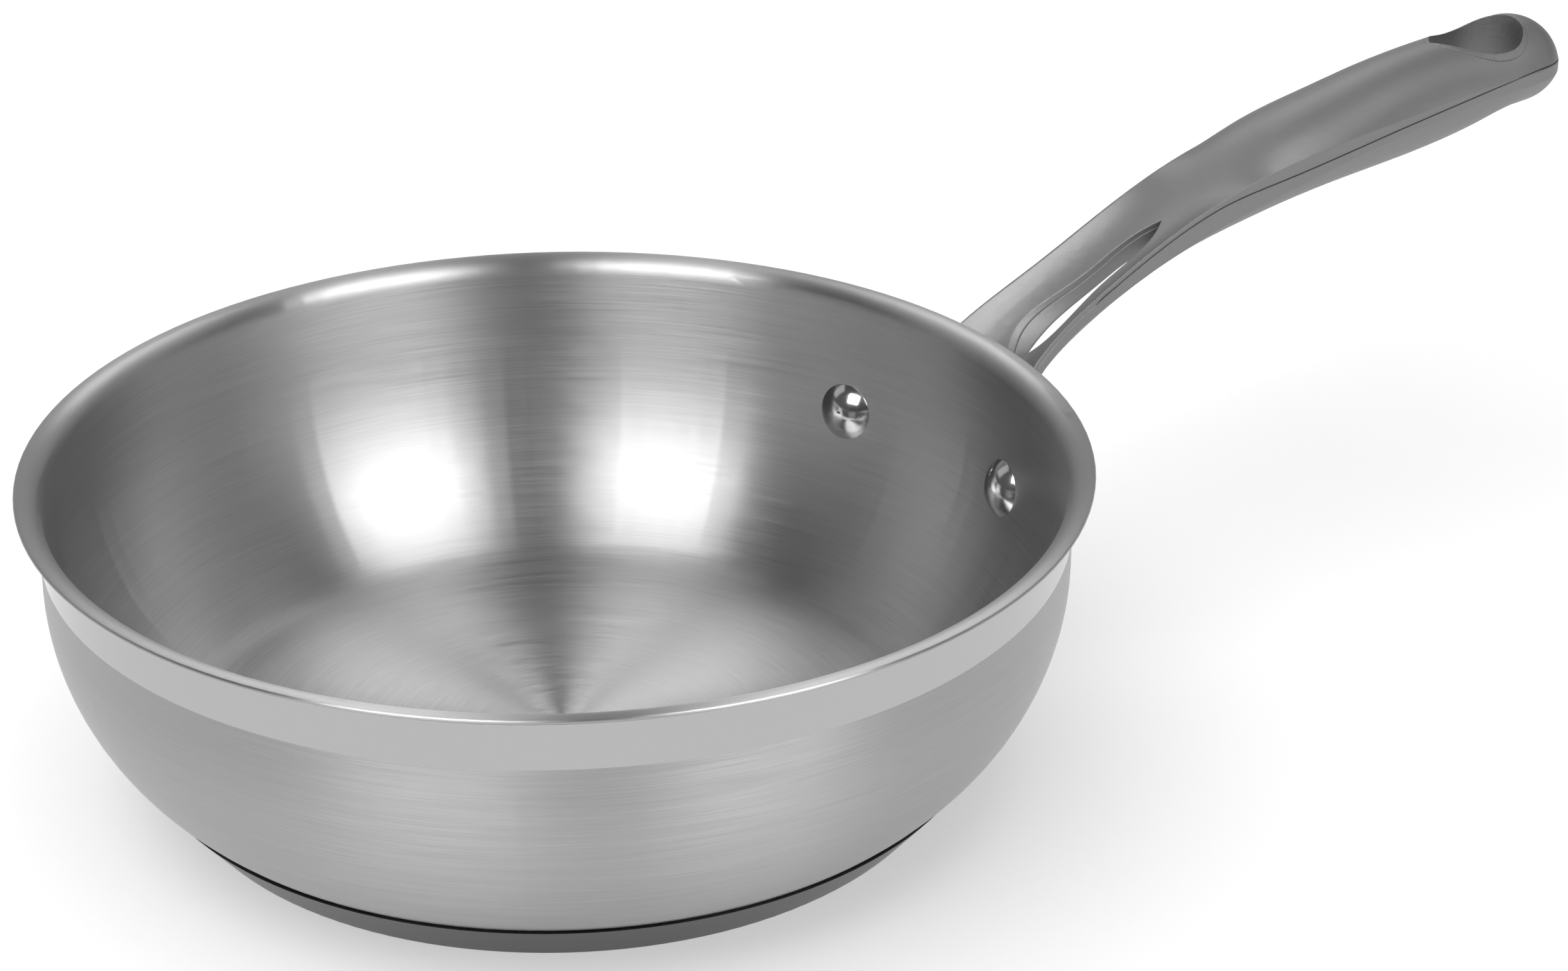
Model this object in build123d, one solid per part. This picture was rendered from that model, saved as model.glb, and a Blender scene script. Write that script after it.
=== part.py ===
from build123d import *
from math import acos, asin, atan2, cos, degrees, radians, sin, sqrt, tan
import os

# Saucier pan, millimetres. The origin is on the pan's axis at the underside of its base.
# +Z is up and the handle points along +X.

# Pan shell, drawn from one sheet with a flared pouring lip
rim_diameter = 240.0
pan_height = 75.0
shell_thickness = 1.0
lip_radius = 3.4
lip_overhang = 5.0
belly_top_height = 54.0
belly_radius_share = 1.169
corner_radius = 14.0
shell_underside_height = 5.5

# Base: an aluminium heat-spreading disc inside a pressed steel cap
cap_thickness = 0.8
cap_lean_in = 8.9
cap_foot_rounding = 2.2
cap_top_height = 10.4
groove_width = 0.35
groove_depth = 1.2

# Handle rivets, with domed heads inside the pan
rivet_drop = 31.1
rivet_spacing = 57.0
rivet_shank_diameter = 6.4
rivet_head_diameter = 14.4
rivet_head_height = 3.2
rivet_tail_diameter = 11.0
rivet_tail_height = 2.2
rivet_hole_clearance = 0.1

# Mounting bracket, a stamped plate that hugs the wall outside
bracket_margin = 10.5
bracket_tall = 23.0
bracket_thickness = 2.5

# Handle, two welded shells: a forked trough at the neck and a hollow grip
root_inset = 3.0
root_drop = 6.9
handle_length = 214.5
handle_rise = 57.4
grip_width = 27.0
grip_depth = 26.5
handle_sheet = 1.4
end_rounding = 12.7

# Neck slot between the two arms of the fork, with a mouth that widens toward the pan
slot_length = 52.5
slot_width = 3.0
slot_depth = 9.5
mouth_length = 66.0
mouth_width = 15.4
slot_middle_share = 0.3

# Teardrop hole for hanging, with a cast liner through the hollow grip
hole_length = 33.8
hole_width = 22.8
hole_setback = 11.5
liner_thickness = 1.3

# One overrun for every cut that has to pass right through, and one for the seam's edges
overrun = 30.0
seam_overrun = 2.0

# Handle stations as shares: reach of handle_length and rise of handle_rise, half width of
# grip_width, then side top, crown, side foot, belly, seam and seam dip of grip_depth, each
# about the centreline. A negative crown is the trough between the arms of the neck.
handle_shares = [
    # reach, rise, half width, side top, crown, side foot, belly, seam, seam dip
    (0.000, 0.000, 0.900, 0.060, -0.050, -0.060, 0.050, 0.000, -0.050),
    (0.036, 0.202, 0.700, 0.080, -0.130, -0.060, 0.080, 0.020, -0.130),
    (0.112, 0.467, 0.515, 0.085, -0.260, -0.060, 0.250, 0.030, -0.260),
    (0.206, 0.624, 0.440, 0.085, -0.220, -0.075, 0.225, 0.030, -0.220),
    (0.318, 0.766, 0.433, 0.115, -0.190, -0.110, 0.180, 0.060, -0.190),
    (0.402, 0.845, 0.455, 0.140, -0.050, -0.120, 0.240, 0.070, -0.080),
    (0.486, 0.895, 0.485, 0.150, 0.205, -0.110, 0.290, 0.030, 0.000),
    (0.598, 0.938, 0.500, 0.130, 0.315, -0.080, 0.370, 0.005, 0.000),
    (0.710, 0.962, 0.470, 0.080, 0.415, -0.080, 0.415, 0.000, 0.000),
    (0.822, 0.985, 0.465, 0.052, 0.422, -0.080, 0.415, 0.005, 0.000),
    (0.880, 0.995, 0.498, 0.042, 0.409, -0.080, 0.370, 0.035, 0.000),
    (0.939, 1.000, 0.511, 0.038, 0.400, -0.080, 0.345, 0.055, 0.000),
]
# Rounded end: angles, in degrees, of the sections that round it off
end_angles = [0, 22, 44, 66, 86]
# The hollow grip starts at this share of handle_length and ends at this angle of the end
hollow_start_share = 0.48
hollow_end_angle = 44
# Sides of the slot and of its mouth, from the pan's end: places along and across each of them
slot_shares = [(0.0, 0.0), (0.08, 0.25), (0.3, 0.5), (0.6, 0.5), (0.94, 0.4), (1.0, 0.0)]
mouth_shares = [(0.0, 0.0), (0.1, 0.44), (0.3, 0.5), (0.6, 0.27), (0.9, 0.17), (1.0, 0.0)]

rim_radius = rim_diameter / 2
wall_outer_radius = rim_radius - lip_overhang
belly_radius = (belly_top_height - shell_underside_height) * belly_radius_share
rivet_height = pan_height - rivet_drop
rivet_angle = degrees(asin(rivet_spacing / 2 / wall_outer_radius))
bracket_width = rivet_spacing + 2 * bracket_margin
root_reach = wall_outer_radius - root_inset
root_height = rivet_height - root_drop
grip_height = root_height + handle_rise


def belly_centre():
    """Centre of the wall's lower arc as radius and height."""
    return Vector(wall_outer_radius - belly_radius, belly_top_height)


def corner_turn():
    """Angle below level at which the belly arc meets the tighter corner arc."""
    drop = belly_top_height - corner_radius - shell_underside_height
    return degrees(asin(drop / (belly_radius - corner_radius)))


def wall_radius_at(height):
    """Outer radius of the pan's wall at a height on its belly arc."""
    centre = belly_centre()
    drop = centre.Y - height
    return centre.X + sqrt(belly_radius**2 - drop**2)


def polar(centre, radius, angle):
    """Point at a radius and an angle in degrees from a centre."""
    return centre + Vector(radius * cos(radians(angle)), radius * sin(radians(angle)))


def skin(offset):
    """Edges of the pan's outer surface, moved outward by an offset, from axis to wall top."""
    belly = belly_centre()
    turn = -corner_turn()
    corner = polar(belly, belly_radius - corner_radius, turn)
    big, small = belly_radius + offset, corner_radius + offset
    foot = Vector(corner.X, corner.Y - small)
    join = polar(belly, big, turn)
    top = Vector(wall_outer_radius + offset, belly_top_height)
    return [
        Line(Vector(0, foot.Y), foot),
        ThreePointArc(foot, polar(corner, small, (turn - 90) / 2), join),
        ThreePointArc(join, polar(belly, big, turn / 2), top),
    ]


def turned(edges):
    """Solid of revolution about the pan's axis from edges drawn as radius and height."""
    return revolve(Plane.XZ * make_face(edges), Axis.Z)


def filled_pan(offset):
    """Everything inside the pan's outer surface, moved outward by an offset, up to the rim."""
    edges = skin(offset)
    wall_foot = edges[-1] @ 1
    wall_top = Vector(wall_foot.X, pan_height)
    axis_top = Vector(0, pan_height)
    return turned(edges + [Polyline(wall_foot, wall_top, axis_top, edges[0] @ 0)])


def make_pan_shell():
    """Drawn shell with its lip curled outward, before the rivet holes."""
    outside, inside = skin(0), skin(-shell_thickness)
    wall_inner_radius = wall_outer_radius - shell_thickness
    curl_height = pan_height - lip_radius - shell_thickness
    curl = Vector(wall_outer_radius + lip_radius, curl_height)
    curl_outer_radius = lip_radius + shell_thickness
    bead = shell_thickness / 2
    curl_start = 180
    curl_end = degrees(acos((rim_radius - bead - curl.X) / (lip_radius + bead)))
    middle = (curl_start + curl_end) / 2
    under, over = polar(curl, lip_radius, curl_end), polar(curl, curl_outer_radius, curl_end)
    nose = polar(polar(curl, lip_radius + bead, curl_end), bead, curl_end - 90)
    outer_foot, inner_foot = Vector(wall_outer_radius, curl_height), Vector(wall_inner_radius, curl_height)
    lip = [
        Line(outside[-1] @ 1, outer_foot),
        ThreePointArc(outer_foot, polar(curl, lip_radius, middle), under),
        ThreePointArc(under, nose, over),
        ThreePointArc(over, polar(curl, curl_outer_radius, middle), inner_foot),
        Line(inner_foot, inside[-1] @ 1),
    ]
    return turned(outside + lip + inside + [Line(inside[0] @ 0, outside[0] @ 0)])


def cap_region(inset):
    """Space inside the base cap's outer surface, moved inward by an inset."""
    top_radius = wall_radius_at(cap_top_height) + groove_width + cap_thickness
    lean = atan2(cap_lean_in, cap_top_height)
    sideways = inset / cos(lean)
    foot_radius = top_radius - cap_lean_in - sideways + inset * tan(lean)
    points = [
        Vector(0, inset),
        Vector(foot_radius, inset),
        Vector(top_radius - sideways, cap_top_height),
        Vector(0, cap_top_height),
    ]
    face = make_face(Polyline(*points, close=True))
    foot = face.vertices().sort_by(Axis.Y)[:2].sort_by(Axis.X)[-1]
    return revolve(Plane.XZ * fillet(foot, cap_foot_rounding - inset), Axis.Z)


def make_base():
    """Heat-spreading disc and the steel cap that encloses it."""
    pan = filled_pan(0)
    inner = cap_region(cap_thickness)
    seat = cap_top_height - groove_depth
    groove = Pos(0, 0, seat) * Cylinder(rim_radius, overrun, align=(Align.CENTER, Align.CENTER, Align.MIN))
    return cap_region(0) - inner - pan, inner - pan - groove


def rivet_plane(side):
    """Plane on the pan's outer wall at one rivet, with its normal pointing outward."""
    lean = asin((belly_top_height - rivet_height) / belly_radius)
    turn = radians(side * rivet_angle)
    radius = wall_radius_at(rivet_height)
    outward = Vector(cos(turn) * cos(lean), sin(turn) * cos(lean), -sin(lean))
    return Plane(Vector(radius * cos(turn), radius * sin(turn), rivet_height), z_dir=outward)


def dome_arc(radius, rise):
    """Radius and sweep, in degrees, of the arc from a dome's crown to its rim."""
    ball = (radius**2 + rise**2) / (2 * abs(rise))
    sweep = degrees(asin(radius / ball))
    return ball, sweep if rise > 0 else -sweep


def make_rivets(pan, bracket):
    """Two rivets, each head and tail pressed to the shape of what it clamps."""
    sink = shell_thickness / 2
    head_rim = Vector(rivet_head_diameter / 2, -shell_thickness)
    head_crown = Vector(0, -shell_thickness - rivet_head_height)
    head = [
        JernArc(head_crown, Vector(1, 0), *dome_arc(rivet_head_diameter / 2, rivet_head_height)),
        Polyline(head_rim, head_rim + Vector(0, sink), Vector(0, sink - shell_thickness), head_crown),
    ]
    dome_height = rivet_tail_height / 2
    tail_rim = Vector(rivet_tail_diameter / 2, bracket_thickness + dome_height)
    tail_crown = Vector(0, bracket_thickness + rivet_tail_height)
    tail_foot = bracket_thickness - sink
    tail = [
        JernArc(tail_crown, Vector(1, 0), *dome_arc(rivet_tail_diameter / 2, -dome_height)),
        Polyline(tail_rim, Vector(tail_rim.X, tail_foot), Vector(0, tail_foot), tail_crown),
    ]
    shank = Pos(0, 0, (bracket_thickness - shell_thickness) / 2) * Cylinder(
        rivet_shank_diameter / 2, shell_thickness + bracket_thickness + 2 * sink)
    rivets = []
    for side in (-1, 1):
        plane = rivet_plane(side)
        rivets.append(plane * turned(head) - pan + (plane * turned(tail) - bracket) + plane * shank)
    return rivets


def rivet_holes():
    """Shank holes through the wall and the bracket."""
    drill = Cylinder(rivet_shank_diameter / 2 + rivet_hole_clearance, overrun)
    return [rivet_plane(side) * drill for side in (-1, 1)]


def make_bracket():
    """Curved plate between the handle's root and the wall."""
    plate = filled_pan(bracket_thickness) - filled_pan(0)
    outline = Plane.YZ * Pos(0, rivet_height) * SlotOverall(bracket_width, bracket_tall)
    return plate & extrude(outline, rim_radius)


def handle_path():
    """Centreline of the handle through its stations."""
    stops = [
        Vector(root_reach + share[0] * handle_length, 0, root_height + share[1] * handle_rise)
        for share in handle_shares
    ]
    return Spline(*stops), stops


def handle_form(outline, start_share, last_angle):
    """Solid through the sections of the handle from a share of its length and round its end."""
    path, stops = handle_path()
    grip = []
    for stop, share in zip(stops, handle_shares):
        if share[0] >= start_share:
            along = path.tangent_at(path.param_at_point(stop))
            grip.append(Plane(stop, x_dir=(0, 1, 0), z_dir=along) * outline(share, 1.0))
    along = path.tangent_at(1)
    end = []
    for angle in end_angles:
        if angle <= last_angle:
            middle = stops[-1] + along * end_rounding * sin(radians(angle))
            plane = Plane(middle, x_dir=(0, 1, 0), z_dir=along)
            end.append(plane * outline(handle_shares[-1], cos(radians(angle))))
    return loft(grip) + loft(end)


def arch(half, foot, rise):
    """Arc over a span, as two halves that meet at its crown; a negative rise makes it sag."""
    whole = ThreePointArc(Vector(-half, foot), Vector(0, foot + rise), Vector(half, foot))
    return [whole.trim(0, 0.5), whole.trim(0.5, 1)]


def handle_outline(share, left, inset):
    """Handle section moved inward by an inset: crown or trough, straight sides, rounded belly."""
    half = share[2] * grip_width * left - inset
    top, crown, foot, belly = (value * grip_depth * left for value in share[3:7])
    return make_face(
        arch(half, top, crown - inset)
        + [Line(Vector(half, top), Vector(half, foot))]
        + arch(half, foot, inset - belly)
        + [Line(Vector(-half, foot), Vector(-half, top))]
    )


def outer_outline(share, left):
    return handle_outline(share, left, 0)


def hollow_outline(share, left):
    return handle_outline(share, left, handle_sheet)


def seam_outline(share, left):
    """Everything below the weld seam, wider and deeper than the handle's section."""
    half = share[2] * grip_width * left
    seam, dip = (value * grip_depth * left for value in share[7:])
    wide = half + seam_overrun
    deep = -grip_depth * left - seam_overrun
    return make_face([
        Line(Vector(-wide, seam), Vector(-half, seam)),
        Bezier(Vector(-half, seam), Vector(0, seam + 2 * dip), Vector(half, seam)),
        Polyline(Vector(half, seam), Vector(wide, seam), Vector(wide, deep), Vector(-wide, deep),
                 Vector(-wide, seam)),
    ])


def slot_outline(shares, length, width, level):
    """Slot section square to the neck at a level; all end at the same place up the neck."""
    path, _ = handle_path()
    along = path.tangent_at(slot_middle_share)
    square = along.cross(Vector(0, 1, 0))
    pan_end = path @ slot_middle_share + along * (slot_length / 2 - length) + square * level
    side = [Vector(share[0] * length, share[1] * width) for share in shares]
    other = [Vector(point.X, -point.Y) for point in side]
    return Plane(pan_end, x_dir=along, z_dir=square) * make_face([Spline(*side), Spline(*other)])


def make_slot():
    """Cut for the neck slot and its funnel-shaped mouth."""
    slot = slot_outline(slot_shares, slot_length, slot_width, -slot_depth)
    mouth = slot_outline(mouth_shares, mouth_length, mouth_width, 0)
    return extrude(slot, overrun, both=True) + loft([slot, mouth], ruled=True)


def hole_outline():
    """Teardrop in plan, its tip toward the pan."""
    bend = hole_width / 2
    round_end = root_reach + handle_length - hole_setback
    tip = Vector(round_end - hole_length, 0)
    upper, lower = Vector(round_end - bend, bend), Vector(round_end - bend, -bend)
    return make_face([
        TangentArc(upper, tip, tangent=(-1, 0)),
        TangentArc(lower, tip, tangent=(-1, 0)),
        ThreePointArc(upper, Vector(round_end, 0), lower),
    ])


def make_handle():
    """Upper and lower shells and the liner of the hanging hole."""
    whole = handle_form(outer_outline, 0, end_angles[-1]) - filled_pan(bracket_thickness)
    hollow = handle_form(hollow_outline, hollow_start_share, hollow_end_angle)
    below_seam = handle_form(seam_outline, 0, end_angles[-1])
    level = Pos(0, 0, grip_height)
    hole = extrude(level * hole_outline(), overrun, both=True)
    bore = extrude(level * offset(hole_outline(), -liner_thickness), overrun, both=True)
    shell = whole - hollow - hole - make_slot()
    return shell - below_seam, shell & below_seam, (hole & whole) - bore


pan_shell = make_pan_shell()
bracket_plate = make_bracket()
rivets = make_rivets(pan_shell, bracket_plate)
for hole in rivet_holes():
    pan_shell -= hole
    bracket_plate -= hole
base_cap, base_core = make_base()
upper_shell, lower_shell, hole_liner = make_handle()

parts = {
    "pan_shell": pan_shell,
    "base_core": base_core,
    "base_cap": base_cap,
    "handle_bracket": bracket_plate,
    "handle_rivets": Compound(children=rivets),
    "handle_upper_shell": upper_shell,
    "handle_lower_shell": lower_shell,
    "hang_hole_liner": hole_liner,
}
os.makedirs("parts", exist_ok=True)
for name, shape in parts.items():
    export_step(shape, f"parts/{name}.step")
    print(name, round(shape.volume), "mm3")
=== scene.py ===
import bpy
import math
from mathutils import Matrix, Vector
from mathutils.kdtree import KDTree


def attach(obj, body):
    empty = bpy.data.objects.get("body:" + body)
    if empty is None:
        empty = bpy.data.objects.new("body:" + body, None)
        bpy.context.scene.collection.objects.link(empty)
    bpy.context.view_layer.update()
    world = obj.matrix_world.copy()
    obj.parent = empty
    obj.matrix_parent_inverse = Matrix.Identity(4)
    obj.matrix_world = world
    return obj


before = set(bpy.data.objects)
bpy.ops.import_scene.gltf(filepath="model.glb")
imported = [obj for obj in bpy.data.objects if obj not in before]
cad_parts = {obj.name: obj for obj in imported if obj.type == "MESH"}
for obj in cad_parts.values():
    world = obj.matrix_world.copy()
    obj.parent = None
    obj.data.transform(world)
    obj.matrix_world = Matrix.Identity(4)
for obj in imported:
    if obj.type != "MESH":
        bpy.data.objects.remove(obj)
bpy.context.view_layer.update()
scene = bpy.context.scene
scene.view_settings.view_transform = "Standard"
millimetre = 0.001
bumpStrength = 0.5


# sRGB hex to the linear colour that Blender works in
def colour(code):
    parts = [int(code[i:i + 2], 16) / 255 for i in (1, 3, 5)]
    linear = [p / 12.92 if p <= 0.04045 else ((p + 0.055) / 1.055) ** 2.4 for p in parts]
    return (*linear, 1.0)


# Adds a shader node: settings are its own options, and a socket gets a value or a link
def addNode(tree, kind, settings, sockets):
    node = tree.nodes.new(kind)
    for name, value in settings.items():
        setattr(node, name, value)
    for name, value in sockets.items():
        if isinstance(value, bpy.types.NodeSocket):
            tree.links.new(value, node.inputs[name])
        else:
            node.inputs[name].default_value = value
    return node


def maths(tree, operation, *values):
    return addNode(tree, "ShaderNodeMath", {"operation": operation}, dict(enumerate(values))).outputs[0]


def newMaterial(name):
    material = bpy.data.materials.new(name)
    material.use_nodes = True
    material.node_tree.nodes.clear()
    return material, material.node_tree


# Camera, solved from the rim, the base and the handle in the photo. It looks down on the pan
# from in front, with the handle going back and to the right.
camera = {
    "place": (-0.5436, -0.7241, 0.5078),
    "turn": (64.09, 0.08, -40.14),
    "lens": 103.23,
}
cameraData = bpy.data.cameras.new("camera")
cameraData.sensor_width = 36
cameraData.lens = camera["lens"]
cameraObject = bpy.data.objects.new("camera", cameraData)
cameraObject.location = camera["place"]
cameraObject.rotation_euler = [math.radians(angle) for angle in camera["turn"]]
scene.collection.objects.link(cameraObject)
scene.camera = cameraObject
print("camera made")


# Soft boxes that show in the steel. Azimuth is measured from the camera's own heading,
# clockwise from above, so 180 is behind the camera. Each faces the middle of the bowl.
softBoxes = [
    {"name": "keyRight", "azimuth": 131, "elevation": 44, "distance": 1.3, "size": (0.75, 0.6), "power": 13},
    {"name": "keyLeft", "azimuth": 209, "elevation": 47, "distance": 1.3, "size": (0.75, 0.6), "power": 13},
    {"name": "sideRight", "azimuth": 70, "elevation": 36, "distance": 1.5, "size": (0.6, 0.8), "power": 0.6},
    {"name": "sideLeft", "azimuth": 288, "elevation": 36, "distance": 1.5, "size": (0.6, 0.8), "power": 0.6},
    {"name": "backRight", "azimuth": 17, "elevation": 44, "distance": 1.5, "size": (0.35, 0.5), "power": 2.4},
    {"name": "backLeft", "azimuth": 342, "elevation": 44, "distance": 1.5, "size": (0.35, 0.5), "power": 2.6},
]
aim = Vector((0, 0, 0.03))


def hangLamp(name, lamp, outward, distance):
    lampObject = bpy.data.objects.new(name, lamp)
    lampObject.location = aim + outward * distance
    lampObject.rotation_euler = (-outward).to_track_quat("-Z", "Y").to_euler()
    scene.collection.objects.link(lampObject)
    return lampObject


for box in softBoxes:
    lamp = bpy.data.lights.new(box["name"], "AREA")
    lamp.shape = "RECTANGLE"
    lamp.size, lamp.size_y = box["size"]
    lamp.energy = box["power"]
    heading = math.radians(-camera["turn"][2] + box["azimuth"])
    height = math.radians(box["elevation"])
    outward = Vector((
        math.sin(heading) * math.cos(height), math.cos(heading) * math.cos(height), math.sin(height)))
    hangLamp(box["name"], lamp, outward, box["distance"]).visible_diffuse = False

# A broad soft ceiling light, which lights the table evenly and leaves the pan's shadow on it
ceiling = {"strength": 2.1, "spread": 70, "from": (-0.25, 0.1, 1)}
lamp = bpy.data.lights.new("ceiling", "SUN")
lamp.energy = ceiling["strength"]
lamp.angle = math.radians(ceiling["spread"])
hangLamp("ceiling", lamp, Vector(ceiling["from"]).normalized(), 2).visible_glossy = False
print("soft boxes placed")


# Room: pale grey where a low camera looks past the floor. The steel sees a darker studio, which
# is darkest behind the camera, a little paler to both sides and palest behind the pan.
room = {
    "fill": 0.3,  # what the table and other dull surfaces get
    "dark": 0.08,
    "sides": 0.06, "sidesBegin": 0.35,
    "behindPan": 0.35, "behindPanBegins": 0.2,
    "full": 0.9,  # how squarely a direction faces a pale part to see all of it
}
heading = math.radians(camera["turn"][2])
sideways = (math.cos(heading), math.sin(heading), 0)
forward = (-math.sin(heading), math.cos(heading), 0)
world = bpy.data.worlds.new("studio")
world.use_nodes = True
scene.world = world
tree = world.node_tree
tree.nodes.clear()
rays = addNode(tree, "ShaderNodeLightPath", {}, {})
facing = addNode(tree, "ShaderNodeTexCoord", {}, {})
studio = room["dark"]
paleParts = (
    (sideways, room["sides"], room["sidesBegin"]),
    (forward, room["behindPan"], room["behindPanBegins"]),
)
for direction, gain, start in paleParts:
    along = addNode(tree, "ShaderNodeVectorMath", {"operation": "DOT_PRODUCT"}, {
        0: facing.outputs["Generated"], 1: direction}).outputs["Value"]
    if direction is sideways:
        along = maths(tree, "ABSOLUTE", along)
    pale = addNode(tree, "ShaderNodeMapRange", {"interpolation_type": "SMOOTHSTEP"}, {
        "Value": along, "From Min": start, "From Max": room["full"], "To Min": 0.0, "To Max": gain})
    studio = maths(tree, "ADD", studio, pale.outputs[0])
grey = addNode(tree, "ShaderNodeMix", {}, {
    0: rays.outputs["Is Glossy Ray"], 2: room["fill"], 3: studio})
level = addNode(tree, "ShaderNodeMix", {}, {0: rays.outputs["Is Camera Ray"], 2: grey.outputs[0], 3: 1.0})
background = addNode(tree, "ShaderNodeBackground", {}, {"Strength": level.outputs[0]})
addNode(tree, "ShaderNodeOutputWorld", {}, {"Surface": background.outputs[0]})
print("room made")


# Floor: a plain pale table that keeps the pan's shadow, and looks white where nothing shades it,
# to the camera and to the steel. Its lift takes the paint up to white there.
floor = {"reach": 3.0, "paint": "#CFCFCF", "lift": 0.5}
floorMesh = bpy.data.meshes.new("floor")
reach = floor["reach"]
corners = [(-reach, -reach, 0), (reach, -reach, 0), (reach, reach, 0), (-reach, reach, 0)]
floorMesh.from_pydata(corners, [], [(0, 1, 2, 3)])
floorObject = bpy.data.objects.new("floor", floorMesh)
scene.collection.objects.link(floorObject)
material, tree = newMaterial("white table")
rays = addNode(tree, "ShaderNodeLightPath", {}, {})
shown = rays.outputs["Is Camera Ray"]
for seen in ("Is Glossy Ray", "Is Transmission Ray"):
    shown = maths(tree, "MAXIMUM", shown, rays.outputs[seen])
paint = addNode(tree, "ShaderNodeBsdfDiffuse", {}, {"Color": colour(floor["paint"])})
glow = addNode(tree, "ShaderNodeEmission", {}, {"Strength": maths(tree, "MULTIPLY", shown, floor["lift"])})
both = addNode(tree, "ShaderNodeAddShader", {}, {0: paint.outputs[0], 1: glow.outputs[0]})
addNode(tree, "ShaderNodeOutputMaterial", {}, {"Surface": both.outputs[0]})
floorMesh.materials.append(material)
print("floor made")


# Steel that was brushed on a lathe. The brush leaves fine rings round the pan's axis, which
# stretch every reflection into a streak across them: fans on the floor, columns on the wall.
def turnedSteel(name, steel):
    material, tree = newMaterial(name)
    place = addNode(tree, "ShaderNodeTexCoord", {}, {})
    at = addNode(tree, "ShaderNodeSeparateXYZ", {}, {0: place.outputs["Object"]})
    x, y, z = at.outputs
    squares = [maths(tree, "MULTIPLY", side, side) for side in (x, y)]
    radius = maths(tree, "SQRT", maths(tree, "ADD", *squares))
    eastward = maths(tree, "DIVIDE", x, radius)
    northward = maths(tree, "DIVIDE", y, radius)
    across = maths(tree, "ADD", radius, z)
    grain = 0.5
    for mark in steel["marks"]:
        flow = addNode(tree, "ShaderNodeCombineXYZ", {}, {
            0: maths(tree, "MULTIPLY", eastward, mark["turns"]),
            1: maths(tree, "MULTIPLY", northward, mark["turns"]),
            2: maths(tree, "MULTIPLY", across, 1 / (mark["pitch"] * millimetre)),
        })
        noise = addNode(tree, "ShaderNodeTexNoise", {}, {
            "Vector": flow.outputs[0], "Scale": 1.0, "Detail": 2.0, "Roughness": 0.6})
        offset = maths(tree, "SUBTRACT", noise.outputs[0], 0.5)
        grain = maths(tree, "ADD", grain, maths(tree, "MULTIPLY", offset, mark["depth"]))
    roughness = addNode(tree, "ShaderNodeMapRange", {}, {
        "Value": grain, "To Min": steel["roughness"][0], "To Max": steel["roughness"][1]})
    shade = addNode(tree, "ShaderNodeMapRange", {}, {
        "Value": grain, "To Min": steel["shade"][0], "To Max": steel["shade"][1]})
    rough, dark = roughness.outputs[0], shade.outputs[0]
    if "polishedAbove" in steel:
        surface = addNode(tree, "ShaderNodeNewGeometry", {}, {})
        turned = addNode(tree, "ShaderNodeSeparateXYZ", {}, {0: surface.outputs["Normal"]})
        outward = maths(tree, "ADD", maths(tree, "MULTIPLY", turned.outputs[0], eastward),
                        maths(tree, "MULTIPLY", turned.outputs[1], northward))
        outside = maths(tree, "GREATER_THAN", outward, steel["facesOut"])
        band = maths(tree, "MULTIPLY", outside,
                     maths(tree, "GREATER_THAN", z, steel["polishedAbove"] * millimetre))
        lip = maths(tree, "GREATER_THAN", z, steel["lipAbove"] * millimetre)
        rough = addNode(tree, "ShaderNodeMix", {}, {
            0: outside, 2: rough, 3: maths(tree, "MULTIPLY", rough, steel["outside"])}).outputs[0]
        rough = addNode(tree, "ShaderNodeMix", {}, {0: band, 2: rough, 3: steel["polish"]}).outputs[0]
        rough = addNode(tree, "ShaderNodeMix", {}, {0: lip, 2: rough, 3: steel["lip"]}).outputs[0]
        polished = maths(tree, "MAXIMUM", band, lip)
        dark = addNode(tree, "ShaderNodeMix", {}, {0: polished, 2: dark, 3: 1.0}).outputs[0]
    tone = addNode(tree, "ShaderNodeMix", {"data_type": "RGBA", "blend_type": "MULTIPLY"}, {
        0: 1.0, 6: colour(steel["colour"]), 7: dark})
    bump = addNode(tree, "ShaderNodeBump", {}, {
        "Height": grain, "Distance": steel["bump"] * millimetre, "Strength": bumpStrength})
    tangent = addNode(tree, "ShaderNodeTangent", {"direction_type": "RADIAL", "axis": "Z"}, {})
    shader = addNode(tree, "ShaderNodeBsdfPrincipled", {}, {
        "Base Color": tone.outputs[2],
        "Metallic": 1.0,
        "Roughness": rough,
        "Anisotropic": steel["stretch"],
        "Anisotropic Rotation": steel["rotation"],
        "Normal": bump.outputs[0],
        "Tangent": tangent.outputs[0],
    })
    addNode(tree, "ShaderNodeOutputMaterial", {}, {"Surface": shader.outputs[0]})
    return material


# Stainless bowl, brushed inside and out: soft bright columns and fans with fine scratches. The
# band under the lip is polished and mirrors the table and the handle's root, and the lip is
# satin. The scratches lie 0.4 mm apart, coarser than real ones, so that they show.
bowlSteel = turnedSteel("bowl steel, brushed round", {
    "colour": "#B4B4B4",
    "marks": [{"pitch": 0.4, "turns": 4, "depth": 1.3}, {"pitch": 2.5, "turns": 2, "depth": 0.4}],
    "roughness": (0.34, 0.46),
    "shade": (0.82, 1.12),
    "stretch": 0.93,
    "rotation": 0.25,
    "bump": 0.004,
    "polishedAbove": 60.8,  # lower edge of the polished band
    "lipAbove": 71.2,
    "polish": 0.06,
    "lip": 0.4,
    "outside": 0.95,  # the outside's roughness as a share of the inside's
    "facesOut": 0.2,  # how far a surface turns from the axis to count as outside
})
# Brushed steel cap, drawn darker than the bowl to match its dark rim: the dark colour is painted shade for
# the shaded table under the pan, which the cap mirrors
capSteel = turnedSteel("cap steel, brushed round, painted shade", {
    "colour": "#646464",
    "marks": [{"pitch": 0.35, "turns": 8, "depth": 0.8}],
    "roughness": (0.28, 0.4),
    "shade": (0.9, 1.05),
    "stretch": 0.6,
    "rotation": 0.25,
    "bump": 0.004,
})


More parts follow.
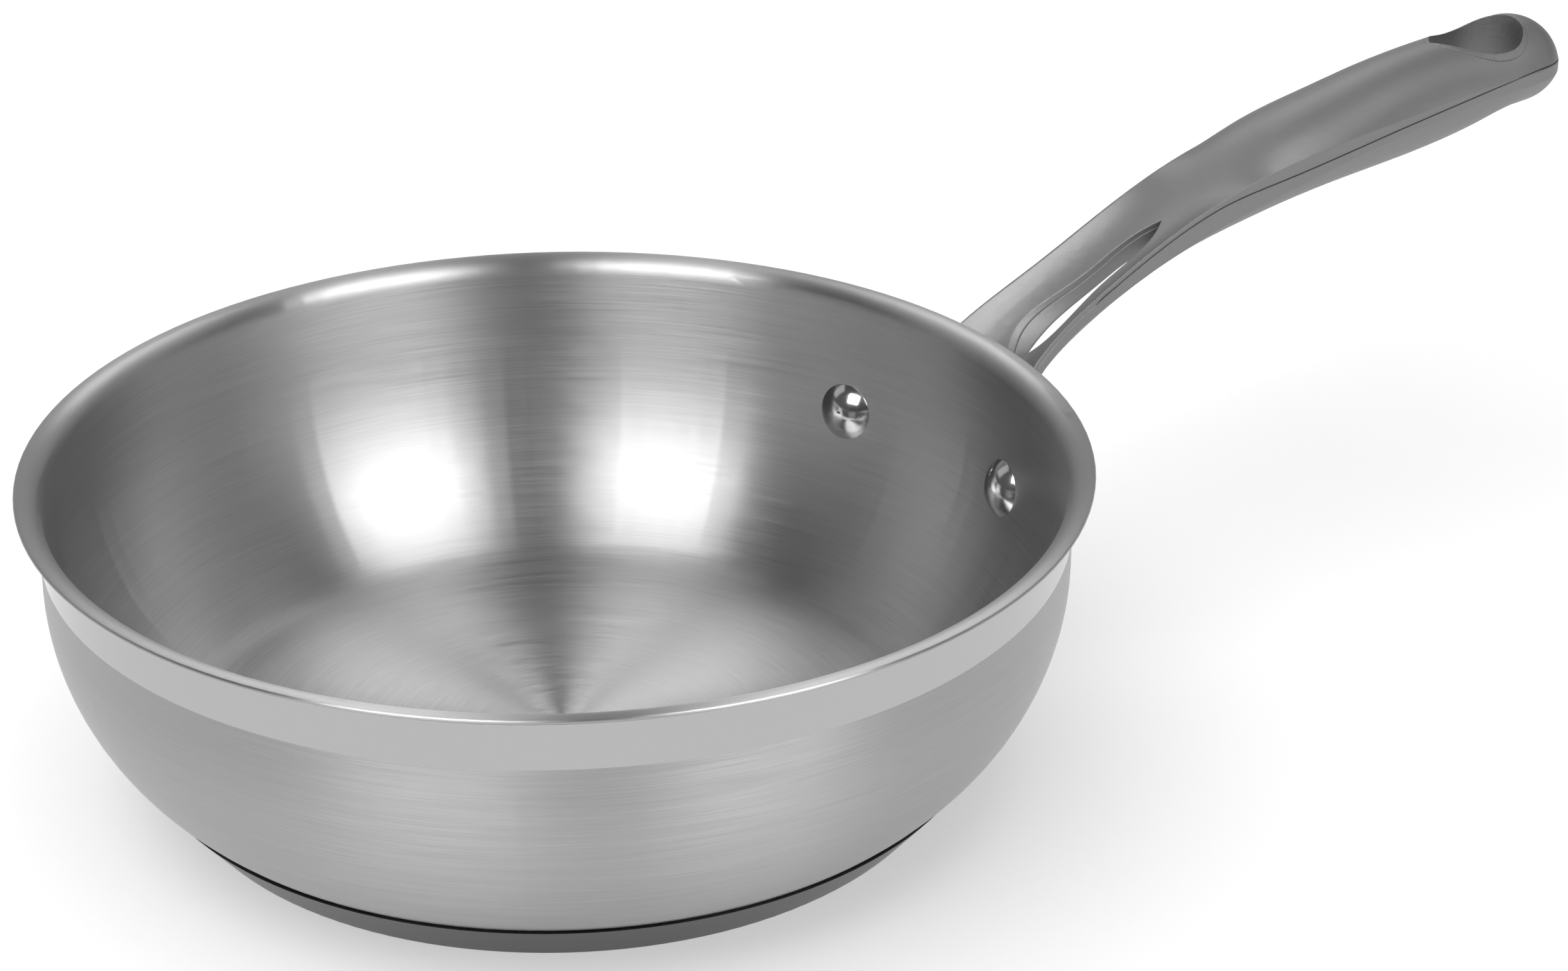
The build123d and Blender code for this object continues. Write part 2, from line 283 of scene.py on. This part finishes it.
# Steel with an even finish: a fine cloudy grain that breaks up the reflections a little. Its
# edges are worn round in the shading, so that they catch the light.
def evenSteel(name, steel):
    material, tree = newMaterial(name)
    place = addNode(tree, "ShaderNodeTexCoord", {}, {})
    noise = addNode(tree, "ShaderNodeTexNoise", {}, {
        "Vector": place.outputs["Object"], "Scale": 1 / (steel["grain"] * millimetre), "Detail": 3.0})
    roughness = addNode(tree, "ShaderNodeMapRange", {}, {
        "Value": noise.outputs[0], "To Min": steel["roughness"][0], "To Max": steel["roughness"][1]})
    worn = addNode(tree, "ShaderNodeBevel", {"samples": 4}, {"Radius": steel["wornEdge"] * millimetre})
    bump = addNode(tree, "ShaderNodeBump", {}, {
        "Height": noise.outputs[0], "Distance": steel["bump"] * millimetre, "Strength": bumpStrength,
        "Normal": worn.outputs[0]})
    shader = addNode(tree, "ShaderNodeBsdfPrincipled", {}, {
        "Base Color": colour(steel["colour"]),
        "Metallic": 1.0,
        "Roughness": roughness.outputs[0],
        "Normal": bump.outputs[0],
    })
    addNode(tree, "ShaderNodeOutputMaterial", {}, {"Surface": shader.outputs[0]})
    return material


# Fine satin steel, a soft grey with no clear reflection
handleSteel = evenSteel("handle steel, satin", {
    "colour": "#8E8E8E", "grain": 0.4, "roughness": (0.5, 0.64), "bump": 0.05, "wornEdge": 0.5})
# Polished steel heads, small bright and dark spots side by side
rivetSteel = evenSteel("rivet steel, polished", {
    "colour": "#D4D4D4", "grain": 0.8, "roughness": (0.1, 0.18), "bump": 0.003, "wornEdge": 0.2})
# Wall of the hanging hole, dull and grainy like a casting
linerSteel = evenSteel("liner steel, as cast", {
    "colour": "#8E8E8E", "grain": 0.7, "roughness": (0.45, 0.65), "bump": 0.25, "wornEdge": 0.3})
# Pressed steel plate behind the handle, a plain satin
bracketSteel = evenSteel("bracket steel, satin", {
    "colour": "#969696", "grain": 0.5, "roughness": (0.35, 0.45), "bump": 0.02, "wornEdge": 0.3})
# Plain aluminium disc, which the cap hides
coreAluminium = evenSteel("core aluminium, plain", {
    "colour": "#C8C8C8", "grain": 1.0, "roughness": (0.4, 0.5), "bump": 0.02, "wornEdge": 0.2})
finishes = {
    "pan_shell": bowlSteel,
    "base_core": coreAluminium,
    "base_cap": capSteel,
    "handle_bracket": bracketSteel,
    "handle_rivets": rivetSteel,
    "handle_upper_shell": handleSteel,
    "handle_lower_shell": handleSteel,
    "hang_hole_liner": linerSteel,
}
for node, finish in finishes.items():
    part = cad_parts[node]
    mesh = part.data
    mesh.materials.clear()
    mesh.materials.append(finish)
    if node == "pan_shell":  # closes the join of the turned surface, which no real bowl shows
        join = part.modifiers.new("joinCloses", "WELD")
        join.merge_threshold = 0.001 * millimetre
    flats = part.modifiers.new("flatsStayFlat", "WEIGHTED_NORMAL")
    flats.keep_sharp = node != "pan_shell"
    print(node, len(mesh.vertices), "vertices", "finished with", finish.name)


# Seam: the fine line along the sides and end of the grip where its two pressed shells are
# welded. It follows the outermost points that both shells share.
seam = {
    "width": 0.3,
    "begins": 126.0,  # distance from the pan's axis where the line starts
    "step": 8.0,
    "endCentre": 311.0,
    "endSteps": 9,  # points in the half turn round the grip's end
    "apart": 0.02,  # how far apart two points may be and still count as one
}
upperShell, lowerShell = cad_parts["handle_upper_shell"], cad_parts["handle_lower_shell"]
lowerPoints = [lowerShell.matrix_world @ vertex.co for vertex in lowerShell.data.vertices]
lookup = KDTree(len(lowerPoints))
for number, point in enumerate(lowerPoints):
    lookup.insert(point, number)
lookup.balance()
shared = [upperShell.matrix_world @ vertex.co for vertex in upperShell.data.vertices]
shared = [point for point in shared if lookup.find(point)[2] < seam["apart"] * millimetre]
nearSide, farSide, roundEnd = {}, {}, {}
endCentre = Vector((seam["endCentre"] * millimetre, 0))
for point in shared:
    if point.x < endCentre.x:
        if point.x > seam["begins"] * millimetre:
            side = nearSide if point.y < 0 else farSide
            station = round(point.x / millimetre / seam["step"])
            if station not in side or abs(side[station].y) < abs(point.y):
                side[station] = point
    else:
        reach = point.xy - endCentre
        station = round(math.atan2(reach.y, reach.x) / math.pi * seam["endSteps"])
        if station not in roundEnd or (roundEnd[station].xy - endCentre).length < reach.length:
            roundEnd[station] = point
route = [nearSide[station] for station in sorted(nearSide)]
route += [roundEnd[station] for station in sorted(roundEnd)]
route += [farSide[station] for station in sorted(farSide, reverse=True)]
seamCurve = bpy.data.curves.new("handle_seam", "CURVE")
seamCurve.dimensions = "3D"
seamCurve.bevel_depth = seam["width"] / 2 * millimetre
seamCurve.bevel_resolution = 2
line = seamCurve.splines.new("BEZIER")
line.bezier_points.add(len(route) - 1)
for knot, point in zip(line.bezier_points, route):
    knot.co = point
    knot.handle_left_type = knot.handle_right_type = "AUTO"
seamObject = bpy.data.objects.new("handle_seam", seamCurve)
scene.collection.objects.link(seamObject)
# The weld line is drawn dull and dark: its dark colour is painted shade for the shadow in the weld's groove
seamCurve.materials.append(evenSteel("seam, painted groove shadow", {
    "colour": "#4C4C4C", "grain": 0.5, "roughness": (0.5, 0.65), "bump": 0.02, "wornEdge": 0.05}))
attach(seamObject, "root")
print("seam made through", len(route), "points")
